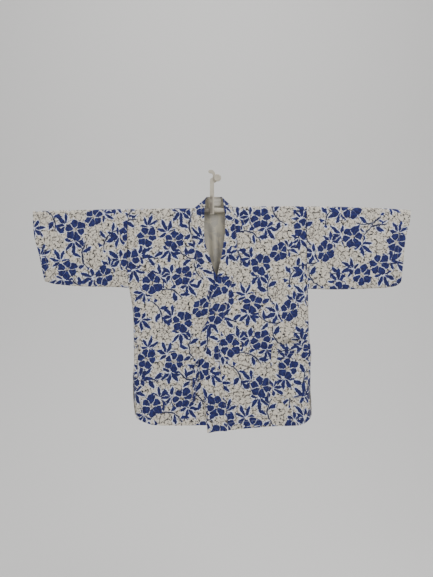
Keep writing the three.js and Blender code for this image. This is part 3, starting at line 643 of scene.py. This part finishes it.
def hem_step(left):
    """A turned-up hem is a slightly raised strip under a line that its stitches draw in."""
    return 0.45 * ease((HEM_DEEP - left) / 2.5) - 0.55 * np.exp(-((left - HEM_DEEP) / 1.6) ** 2)


def flat_front(points, side, offset):
    across, down = run_length(points, 1), run_length(points, 0)
    inward = 1 if side == "right" else -1
    return np.stack([points[:, [-1], 0] - inward * (across[:, [-1]] - across) + offset[0],
                     offset[1] - down], 2)


fronts = {}
for side, offset in (("right", (150, 40)), ("left", (330, 250))):
    points = front_points(side)
    down = run_length(points, 0)
    points[..., 1] -= hem_step(down[-1] - down)
    fronts[side] = points.copy()
    cloth = flat_front(points, side, offset)
    points, cloth = points[::-1], cloth[::-1]
    if side == "left":
        points, cloth = points[:, ::-1], cloth[:, ::-1]
    piece = make_shell("front_panel_" + side, points, cloth, materials=CLOTH)
    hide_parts("front_" + side)
    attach(piece, "root")
    0.179 if side == "right" else 0.188

# Each sleeve is one straight width folded over the bar and sewn along its lower edge. It is
# sewn to the body at the armhole and left open and hemmed at the cuff.
SLEEVE_LONG = 330
CUFF = {
    "right": [(-567, -118), (-561, -194), (-544, -263), (-529, -344)],
    "left": [(638, -118), (636, -141), (620, -212), (613, -288), (608, -344)],
}
SLEEVE_CREASES = [(-540, -150, -420, -330, 12, -2.4), (-480, -140, -330, -300, 11, 1.8),
                  (-400, -180, -290, -340, 12, -2.2), (-330, -150, -276, -270, 9, 1.6),
                  (-545, -230, -470, -345, 9, 1.6), (-300, -330, -430, -352, 8, -1.3),
                  (596, -150, 500, -330, 12, -2.3), (540, -140, 400, -310, 12, 1.9),
                  (450, -170, 330, -345, 12, -2.3), (372, -140, 318, -290, 9, 1.8),
                  (610, -240, 545, -350, 9, 1.5), (330, -345, 470, -355, 8, -1.4)]


def sleeve_points(side):
    outward = -1 if side == "right" else 1
    arc = 1 - np.cos(np.linspace(0, math.pi / 2, 7))
    q = np.concatenate([arc * 0.038, np.linspace(0.055, 0.945, 44), 1 - 0.04 * arc[::-1]])
    around = np.concatenate([q[::-1], q[1:-1]])[None, :]
    face = np.concatenate([-np.ones(len(q)), np.ones(len(q) - 2)])[None, :]
    hem = 1 - np.array([HEM_DEEP, 20.6, 19, 15, 10, 5, 2, 0.0]) / SLEEVE_LONG
    s = np.concatenate([[0, 0.006, 0.014], np.linspace(0.03, 0.92, 54),
                        1 - np.array([25, 23.4]) / SLEEVE_LONG, hem])[:, None]
    arm_top = SIDE[side][0][1]
    arm_low = follow(UNDERARM[side], SIDE[side][0][0], 0, 1)
    arm = follow(SIDE[side], arm_top + (arm_low - arm_top) * around) + outward * SEAM_GAP / 2
    end = follow(CUFF[side], -118 - 226 * around)
    x = arm + (end - arm) * s
    top = top_at(x)
    whole = top - follow(UNDERARM[side], x, 0, 1)
    z = top - whole * around
    wave = 1.5 * np.sin(6 * s + 3 * around + (0 if side == "right" else 2))
    depth = sleeve_depth(top - z, whole, SLEEVE_SWELL + 3 * ease(s))
    middle = np.sin(math.pi * around) ** 0.7
    depth = depth + wave * np.sin(math.pi * around) * ease(5 * s)
    shift = np.where(face > 0, 26, 0)
    depth = depth + creases(SLEEVE_CREASES, x + shift, z - shift * 0.4) * middle * ease(6 * s)
    depth = depth + hem_step((1 - s) * SLEEVE_LONG)
    depth = depth - 0.6 * np.exp(-((s * SLEEVE_LONG) / 3.5) ** 2) * middle
    return np.stack([x, HANG_Y + face * np.maximum(0, depth), z], 2), len(q)


sleeves = {}
for side, offset in (("right", (60, 130)), ("left", (215, 60))):
    points, half = sleeve_points(side)
    sleeves[side] = points
    ring = np.concatenate([points, points[:, :1]], 1)
    along = run_length(ring, 1)
    cloth = np.stack([ring[..., 0] + offset[0], along - along[:, [half - 1]] + offset[1]], 2)
    if side == "left":
        points, cloth = np.roll(points[:, ::-1], 1, 1), cloth[:, ::-1]
    piece = make_shell("sleeve_tube_" + side, points, cloth, closed=True, materials=CLOTH)
    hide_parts("sleeve_" + side)
    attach(piece, "root")
    0.31 if side == "right" else 0.33
    0.146 if side == "right" else 0.170

# The collar band is one long strip of the same cotton, folded double and pressed. It is sewn
# to both front edges and round the neckline, and stands up a little at the nape.
NAPE_EDGE = [(-16, 0, -79), (-14.5, 3.5, -75.5), (-13, 7, -73), (-8, 12, -72), (0, 15, -71.5),
             (11, 16, -71.5), (23, 15, -72), (32, 12, -72), (37, 7, -73), (38.5, 3.5, -75),
             (40, 0, -78)]
BAND_COLUMNS = 14
BAND_PROUD = 1.2


def band_down(side):
    inward = 1 if side == "right" else -1
    nape = np.array(NAPE_EDGE[0 if side == "right" else -1], float) + (0, HANG_Y, 0)
    t = np.linspace(0, 1, BAND_COLUMNS)
    rows = []
    for drop, p in zip(DROPS[1:], fronts[side][1:, -1]):
        seam_x = p[0] + inward * SEAM_GAP
        if drop < 24:
            k = np.interp(drop, [0, 1.3, 4.6, 9.2, 24], [0, 0.25, 0.5, 0.75, 1])
            seam = np.array([seam_x, p[1] - BAND_PROUD * max(0.8, k), p[2] + 0.8 * (1 - k)])
            low = np.array([-18 if side == "right" else 42, HANG_Y - 11.4, top_at(p[0]) - 2])
            edge = nape + (low - nape) * k
            rows.append(seam + (edge - seam) * t[:, None])
            continue
        rise = 24 * (1 - ease((-p[2] - 120) / 220))
        x = seam_x + (follow(BAND_EDGE[side], p[2] + rise) - seam_x) * t
        low = (follow(HEM_FRONT[side], x, 0, 1) - p[2]) * ease((-780 - p[2]) / 16)
        z = p[2] + rise * t + low
        clear = 11 * ease(2 * t)
        depth = np.maximum(clear, front_depth(x, z)) + (lap(x, z) if side == "left" else 0)
        depth = depth - 0.5 * np.exp(-(np.abs(x - seam_x) / 3) ** 2) * ease(drop / 60)
        depth = depth + BAND_PROUD - 0.7 * t ** 12
        rows.append(np.stack([x, HANG_Y - depth, z], 1))
    return np.array(rows)


def band_points():
    seam, edge = np.array(NECKLINE, float), np.array(NAPE_EDGE, float)
    shift = np.full(len(seam), SEAM_GAP / 2)
    shift[[0, -1]] = SEAM_GAP
    seam[:, 0] += np.where(seam[:, 0] < 10, shift, -shift)
    seam[1:-1, 2] += SEAM_GAP
    knots = np.arange(len(seam), dtype=float)
    fine = np.linspace(0, len(seam) - 1, 61)

    def smooth(values):
        return follow(list(zip(values, knots)), fine)

    seam = np.stack([smooth(seam[:, k]) for k in range(3)], 1)
    edge = np.stack([smooth(edge[:, k]) for k in range(3)], 1)
    t = np.linspace(0, 1, BAND_COLUMNS)[None, :, None]
    neck = seam[:, None] + (edge - seam)[:, None] * t
    neck[..., 1] += HANG_Y + 1.4 * np.sin(math.pi * t[..., 0]) * np.clip(seam[:, [1]] / 5, 0, 1)
    return np.concatenate([band_down("right")[::-1], neck, band_down("left")])


band_grid = band_points()
along, across = run_length(band_grid, 0), run_length(band_grid, 1)
centre = len(along) // 2
along -= along[centre]
middle = along[:, [BAND_COLUMNS // 2]]
near_neck = 1 - ease((np.abs(middle) - 110) / 260)
band_cloth = np.stack([across + 205, middle + (along - middle) * near_neck + 800], 2)
band = make_shell("collar_strip", band_grid, band_cloth, thick=2.2, materials=CLOTH)
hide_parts("collar_band")
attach(band, "root")

# The patch pocket is an oblong of the cotton, hemmed along its mouth and stitched to the
# upper front on its other sides. The mouth stands a little away from the front.
POCKET_SIDE = [(197, -540), (187, -640), (179, -714)]
POCKET_DEEP = 178
POCKET_WIDE = 125
POCKET_HEM = 24
POCKET_GAPE = 12
POCKET_WALL = 1.6
LAY_GAP = 0.5


def pocket_points():
    near_mouth = 0.16 - np.array([2, 4, 8, 14, 20, 26, 29]) / 186
    down = np.concatenate([np.linspace(1, 0.16, 40), near_mouth])
    down = np.clip(down, 0, 1)[:, None]
    across = np.concatenate([[0, 0.008, 0.02], np.linspace(0.04, 0.96, 34), [0.98, 1]])[None, :]
    mouth = -548 + 20 * across - 10 * np.sin(math.pi * np.clip((across - 0.25) / 0.6, 0, 1))
    z = mouth + (-714 + 3 * across - mouth) * down
    start = follow(POCKET_SIDE, z)
    end = follow(SIDE["left"], z) - 0.85 * SIDE_ROUND - SLIT_INSET * ease((SLIT_TOP - z) / 60)
    x = start + (end - start) * across
    gape = POCKET_GAPE * np.sin(math.pi * across ** 0.8) * (1 - ease(down * 1.9))
    out = front_depth(x, z) + lap(x, z) + LAY_GAP + POCKET_WALL + gape
    below = down * POCKET_DEEP
    out = out + 0.4 * ease((POCKET_HEM - below) / 2)
    out = out - 0.5 * np.exp(-((below - POCKET_HEM) / 1.6) ** 2)
    beside_seam = 1 - ease(np.minimum(across, 1 - across) * POCKET_WIDE / 3)
    out = out - 0.5 * beside_seam * (1 - ease((30 - below) / 20))
    return np.stack([x, HANG_Y - out, z], 2)


pocket_grid = pocket_points()
pocket_cloth = np.stack([pocket_grid[..., 0] - 49, pocket_grid[..., 2] + 792], 2)
pocket = make_shell("patch_pocket", pocket_grid, pocket_cloth, thick=1.1, materials=CLOTH)
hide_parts("pocket")
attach(pocket, "root")

# The ties are narrow strips of the cotton, turned, pressed flat and edge-stitched. One is
# sewn to the edge of the upper front and one to the side seam, and both hang free.
TIE_HALF = 5.2
TIE_THICK = 2.2
TIES = {
    "front": [(-38, -542, 2.5), (-38.6, -558, 2.2), (-39.8, -577, 1.8), (-42, -600, 1.6),
              (-47, -619, 1.4), (-51.5, -640, 1), (-52.5, -670, 1), (-52, -700, 1.2),
              (-52, -728, 1.5)],
    "side": [(-236, -546, 0.4), (-236, -590, 0.8), (-237, -620, 1), (-236.5, -648, 1.4)],
}
tie_grids = {}
for name, course in TIES.items():
    long = course[0][1] - course[-1][1]
    z = np.linspace(course[-1][1], course[0][1], int(long / 3))
    x = follow(course, z)
    off = follow(course, z, 1, 2)
    sides = np.linspace(-1, 1, 9)
    reach = np.stack([front_depth(x + TIE_HALF * s, z) for s in sides], 1).max(1)
    y = HANG_Y - reach - LAY_GAP - TIE_THICK - off
    bow = 0.5 * np.cos(sides * math.pi / 2)[None, :]
    twist = 0.35 * np.sin(z / 17)[:, None] * sides[None, :]
    grid = np.stack([x[:, None] + TIE_HALF * sides, y[:, None] - bow * 0.6 - twist,
                     z[:, None] + 0 * sides], 2)
    tie_grids[name] = grid
    flat = np.stack([grid[..., 0] + 20, grid[..., 2] + 95], 2)
    tie = make_shell("tie_strip_" + name, grid, flat, thick=1.6, materials=(cotton, cotton))
    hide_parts("tie_" + name)
    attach(tie, "root")

# The label is a bare piece of cotton tape with turned ends, creased along its middle and
# sewn inside the collar. Its finish alone is made here, on the solid's own shape.
f = Finish("woven_label")
spot = f.add("ShaderNodeTexCoord", out=3)
across_weave = f.vector("MULTIPLY", spot, (500.0, 500.0, 1500.0))
thread = f.noise(across_weave, 1.0)
z = f.parts(spot)[2]
turned = abs(z + 0.0895).ramp(0.0085, 0.0095)
crease = abs(z + 0.0885 + thread * 0.0004).ramp(0.0014, 0.0004)
paint = f.blend(turned * 0.4, (0.60, 0.57, 0.50, 1), (0.44, 0.41, 0.35, 1))
# Painted shade: a dark line is painted along the middle crease.
paint = f.blend(crease * 0.6, paint, (0.28, 0.24, 0.19, 1))
paint = f.blend(thread.ramp(0.4, 0.7) * 0.14, paint, (0.35, 0.33, 0.3, 1))
label_material = f.close(paint, 0.75, [(thread - crease, 0.4, 0.0003)])
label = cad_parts["neck_label"]
label.data.materials.clear()
label.data.materials.append(label_material)

# The hanger is moulded in off-white plastic: a straight round bar, and a flat upright with
# a channel down its face, a finger over a throat, and a ribbed knob at one side.
f = Finish("hanger_plastic")
spot = f.add("ShaderNodeTexCoord", out=3)
grain = f.noise(spot, 900.0)
stain = f.noise(spot, 28.0, 3.0)
x, _, z = f.parts(spot)
# Painted shade: the upright's lower left, down towards the bar, is darkened in blotches.
painted_shade_on_upright = z.ramp(-0.066, -0.078) * x.ramp(0.0080, 0.0060) * z.ramp(-0.1335, -0.125)
paint = f.blend(stain.ramp(0.35, 0.7), (0.55, 0.505, 0.41, 1), (0.47, 0.425, 0.335, 1))
paint = f.blend(painted_shade_on_upright * stain.ramp(0.1, 0.45) * 0.9, paint, (0.15, 0.13, 0.105, 1))
plastic = f.close(paint, stain * 0.12 + 0.38, [(grain, 0.15, 0.0002)])


def ring_faces(first, last, sides, step=1):
    """Quads from each ring of points to the next, with flat ends; a step of -1 turns them over."""
    faces = []
    for i in range(first, last):
        for j in range(sides):
            a, b = (j, (j + 1) % sides)[::step]
            faces.append([i * sides + a, i * sides + b, (i + 1) * sides + b, (i + 1) * sides + a])
    ring = list(range(sides))[::-step]
    return faces + [[first * sides + j for j in ring], [last * sides + j for j in ring[::-1]]]


BAR_RADIUS = 7
BAR_INSET = 16
BAR_SIDES = 32
bar_x = np.linspace(-567 + BAR_INSET, 638 - BAR_INSET, 80)
turn = np.linspace(0, 2 * math.pi, BAR_SIDES + 1)[:-1]
ends = [(0, 0.3), (0, 0.75), (0, 0.93), (1.5, 1)]
rings = [(bar_x[0] + s, r) for s, r in ends] + [(x, 1) for x in bar_x[1:-1]]
rings += [(bar_x[-1] - s, r) for s, r in ends[::-1]]
verts = [(x, HANG_Y + BAR_RADIUS * r * math.cos(a),
          top_at(x) - FOLD_RADIUS + BAR_RADIUS * r * math.sin(a)) for x, r in rings for a in turn]
faces = ring_faces(0, len(rings) - 1, BAR_SIDES, -1)


def add_solid(name, verts, faces, material, soft=40):
    mesh = smooth_mesh(name, (np.array(verts) * 0.001).tolist(), faces)
    mesh.set_sharp_from_angle(angle=math.radians(soft))
    mesh.materials.append(material)
    return add_object(name, mesh)


bar = add_solid("hanger_tube", verts, faces, plastic)
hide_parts("hanger_bar")

OUTLINE = [((-2, -130), None), ((11.2, -130), None), ((11.2, -31), None), ((24, -18), (21, -27)),
           ((15, -4), (25, -8)), ((9, 9), (14.5, 4)), ((-3, 11), (4, 13)), ((-7, 5), (-8, 9)),
           ((-1, 0), (-6, 1)), ((3, 0), None), ((7, -6), (6.5, -1.5)), ((7, -14), None),
           ((-0.6, -17), (2, -13)), ((-2, -26), (-2, -20))]
edge = []
for (point, pull), (before, _) in zip(OUTLINE, [OUTLINE[-1]] + OUTLINE[:-1]):
    for t in (np.linspace(0, 1, 8)[1:] if pull else [1.0]):
        a, c = np.array(before, float), np.array(point, float)
        b = np.array(pull, float) if pull else (a + c) / 2
        edge.append(tuple((1 - t) ** 2 * a + 2 * t * (1 - t) * b + t * t * c))
count = len(edge)
verts = [(x, y, z) for y in (-3, 3) for x, z in edge]
faces = [list(range(count)), list(range(2 * count - 1, count - 1, -1))]
faces += [[i, i + count, (i + 1) % count + count, (i + 1) % count] for i in range(count)]
upright = add_solid("hanger_upright", verts, faces, plastic)
plate = bmesh.new()
plate.from_mesh(upright.data)
bmesh.ops.recalc_face_normals(plate, faces=plate.faces)
plate.to_mesh(upright.data)
plate.free()
rounding = upright.modifiers.new("rounding", "BEVEL")
rounding.width, rounding.segments, rounding.limit_method = 0.0011, 3, "ANGLE"
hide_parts("hanger_hook")

verts, faces = [], []
for x0, x1 in ((-2.0, -0.3), (9.5, 11.2)):
    first = len(verts)
    verts += [(x, y, z) for z in (-128.6, -31) for y in (-4.0, -2.8) for x in (x0, x1)]
    faces += [[first + v for v in face] for face in ((0, 1, 5, 4), (1, 3, 7, 5), (3, 2, 6, 7),
                                                     (2, 0, 4, 6), (4, 5, 7, 6), (2, 3, 1, 0))]
ribs = add_solid("hanger_ribs", verts, faces, plastic)
rounding = ribs.modifiers.new("rounding", "BEVEL")
rounding.width, rounding.segments = 0.0004, 2

profile = [(0, 0), (10.5, 0), (12, 1.5), (12, 5), (11, 6.8), (8.5, 8), (6.5, 7.2), (0, 7.0)]
KNOB_SIDES = 72
verts = []
for r, d in profile:
    for j in range(KNOB_SIDES):
        a = 2 * math.pi * j / KNOB_SIDES
        grip = 1 - (0.035 if r > 10.9 and j % 6 < 2 else 0)
        verts.append((22 + r * grip * math.cos(a), -3.3 - d, -14.5 + r * grip * math.sin(a)))
faces = ring_faces(1, len(profile) - 2, KNOB_SIDES)
used = sorted({v for face in faces for v in face})
renumbered = {v: i for i, v in enumerate(used)}
knob = add_solid("hanger_wheel", [verts[v] for v in used],
                 [[renumbered[v] for v in face] for face in faces], plastic, 32)
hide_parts("hanger_knob")
for piece in (bar, upright, ribs, knob):
    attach(piece, "root")

# Stitches run along the hems, the slits, the band, the pocket and the ties, with a bar tack
# at the top of each slit. A small tree lays one stitch at each step along the paths.
STITCH = {"Pitch": 0.0036, "Length": 0.0026, "Radius": 0.00024}
f = Finish("sewing_thread")
spot = f.add("ShaderNodeTexCoord", out=3)
sewing_thread = f.close(f.blend(f.noise(spot, 700.0), (0.62, 0.59, 0.53, 1), (0.44, 0.42, 0.40, 1)), 0.7)


def stitch_tree():
    tree = bpy.data.node_groups.new("stitches", "GeometryNodeTree")
    face = tree.interface
    face.new_socket("Paths", in_out="INPUT", socket_type="NodeSocketGeometry")
    keys = {}
    for label, value in STITCH.items():
        socket = face.new_socket(label, in_out="INPUT", socket_type="NodeSocketFloat")
        socket.default_value = value
        keys[label] = socket.identifier
    face.new_socket("Stitches", in_out="OUTPUT", socket_type="NodeSocketGeometry")

    def add(kind, inputs=(), **settings):
        node = tree.nodes.new(kind)
        for key, value in settings.items():
            setattr(node, key, value)
        for key, value in inputs:
            if isinstance(value, bpy.types.NodeSocket):
                tree.links.new(value, node.inputs[key])
            else:
                node.inputs[key].default_value = value
        return node

    given = add("NodeGroupInput")
    curve = add("GeometryNodeMeshToCurve", [("Mesh", given.outputs["Paths"])])
    even = add("GeometryNodeResampleCurve", [("Curve", curve.outputs[0]),
                                             ("Length", given.outputs["Pitch"])], mode="LENGTH")
    stitch = add("GeometryNodeMeshCylinder", [("Vertices", 6), ("Radius", given.outputs["Radius"]),
                                              ("Depth", given.outputs["Length"])])
    along = add("FunctionNodeAlignRotationToVector",
                [("Vector", add("GeometryNodeInputTangent").outputs[0])], axis="Z")
    uneven = add("FunctionNodeRandomValue", [(2, 0.82), (3, 1.1), ("Seed", 11)], data_type="FLOAT")
    laid = add("GeometryNodeInstanceOnPoints",
               [("Points", even.outputs[0]), ("Instance", stitch.outputs[0]),
                ("Rotation", along.outputs[0]), ("Scale", uneven.outputs[1])])
    real = add("GeometryNodeRealizeInstances", [("Geometry", laid.outputs[0])])
    dressed = add("GeometryNodeSetMaterial", [("Geometry", real.outputs[0]),
                                              ("Material", sewing_thread)])
    add("NodeGroupOutput", [(0, dressed.outputs[0])])
    return tree, keys


def hem_row(points):
    down = run_length(points, 0)
    return int(np.argmin(np.abs(down[-1, 10] - down[:, 10] - HEM_DEEP)))


paths = []


def path(points, lift):
    paths.append(np.array(points) + (0, lift, 0))


for side, points in fronts.items():
    path(points[hem_row(points), 1:-1], -0.35)
    low = points[:, 5, 2] < SLIT_TOP + 6
    path(points[low, 5][:-1], -0.35)
path(back_grid[hem_row(back_grid), 1:-1], 0.35)
for column in (5, -6):
    low = back_grid[:, column, 2] < SLIT_TOP + 6
    path(back_grid[low, column][:-1], 0.35)
for points in sleeves.values():
    ring = points[-8]
    out = np.sign(ring[:, 1] - HANG_Y)
    paths.append(np.concatenate([ring, ring[:1]]) + np.stack([0 * out, out * 0.35, 0 * out], 1)[
        np.r_[0:len(ring), 0]])
path(band_grid[6:-6, 1], -0.3)
inset = pocket_grid[:, 1] + (2.5, 0, 0)
outer = pocket_grid[:, -2] - (2.5, 0, 0)
path(np.concatenate([inset[::-1], pocket_grid[1, 2:-2], outer]), -0.35)
middle_z = pocket_grid[:, 18, 2]
pocket_row = int(np.argmin(np.abs(middle_z - middle_z[-1] + POCKET_HEM)))
path(pocket_grid[pocket_row, 1:-1], -0.35)
for grid in tie_grids.values():
    path(grid[1:-1, 1], -0.25)
    path(grid[1:-1, -2], -0.25)
for side in ("right", "left"):
    x = float(follow(SIDE[side], SLIT_TOP)) + (5 if side == "right" else -5)
    for row in range(9):
        z = SLIT_TOP + 14 - 1.7 * row
        y = HANG_Y - float(front_depth(np.array([x]), np.array([z]))[0]) * 0.86 - 0.5
        paths.append(np.array([(x - 2.4, y, z), (x + 2.4, y, z + 0.8)]))

verts = np.concatenate(paths) * 0.001
edges, first = [], 0
for points in paths:
    edges += [(first + i, first + i + 1) for i in range(len(points) - 1)]
    first += len(points)
mesh = bpy.data.meshes.new("stitch_paths")
mesh.from_pydata(verts.tolist(), edges, [])
laid = add_object("stitch_paths", mesh)
tree, keys = stitch_tree()
growth = laid.modifiers.new("stitches", "NODES")
growth.node_group = tree
for label, value in STITCH.items():
    growth[keys[label]] = value
ready = bpy.data.meshes.new_from_object(laid.evaluated_get(bpy.context.evaluated_depsgraph_get()))
laid.modifiers.remove(growth)
bpy.data.objects.remove(laid)
stitching = add_object("stitching", ready)
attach(stitching, "root")

# The scene: a plain pale floor that curves up behind, and four large soft lamps.
sweep = [(-14, -1.75), (2.0, -1.75)]
sweep += [(2.0 + 3 * math.sin(a), 1.25 - 3 * math.cos(a)) for a in np.linspace(0.06, 1.51, 24)]
sweep += [(5.0, 1.25), (5.0, 12)]
mesh = smooth_mesh("floor", [(x, y, z) for y, z in sweep for x in (-14, 14)],
                   [(2 * i, 2 * i + 1, 2 * i + 3, 2 * i + 2) for i in range(len(sweep) - 1)])
floor = add_object("floor", mesh)
shade = Finish("pale_floor")
mesh.materials.append(shade.close((0.80, 0.79, 0.77, 1), 0.9))
floor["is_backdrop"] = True

world = bpy.data.worlds.new("studio")
world.use_nodes = True
world.node_tree.nodes["Background"].inputs[0].default_value = (0.95, 0.96, 1.0, 1)
world.node_tree.nodes["Background"].inputs[1].default_value = 0.38
bpy.context.scene.world = world
for name, place, aim, size, power in (("key", (1.5, -2.2, 1.6), (0, 0, -0.4), 1.9, 72),
                                      ("fill", (-2.2, -2.2, 0.4), (0, 0, -0.4), 2.0, 26),
                                      ("rim", (-0.3, 2.2, 1.9), (0, 0, -0.4), 1.8, 30),
                                      ("sweep", (0, 1.2, 3.4), (0, 4.2, 0.2), 3.0, 130)):
    lamp = add_object(name, bpy.data.lights.new(name, "AREA"))
    lamp.data.size, lamp.data.energy = size, power
    lamp.location = place
    away = Vector(place) - Vector(aim)
    lamp.rotation_euler = away.to_track_quat("Z", "Y").to_euler()

# The camera stands level in front of the jacket and looks straight at it.
camera = add_object("camera", bpy.data.cameras.new("camera"))
camera.data.sensor_width, camera.data.lens = 36, 51
camera.location = (0.019, -2.605, -0.3667)
camera.rotation_euler = (math.radians(90), 0, 0)
bpy.context.scene.camera = camera

low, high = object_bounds()
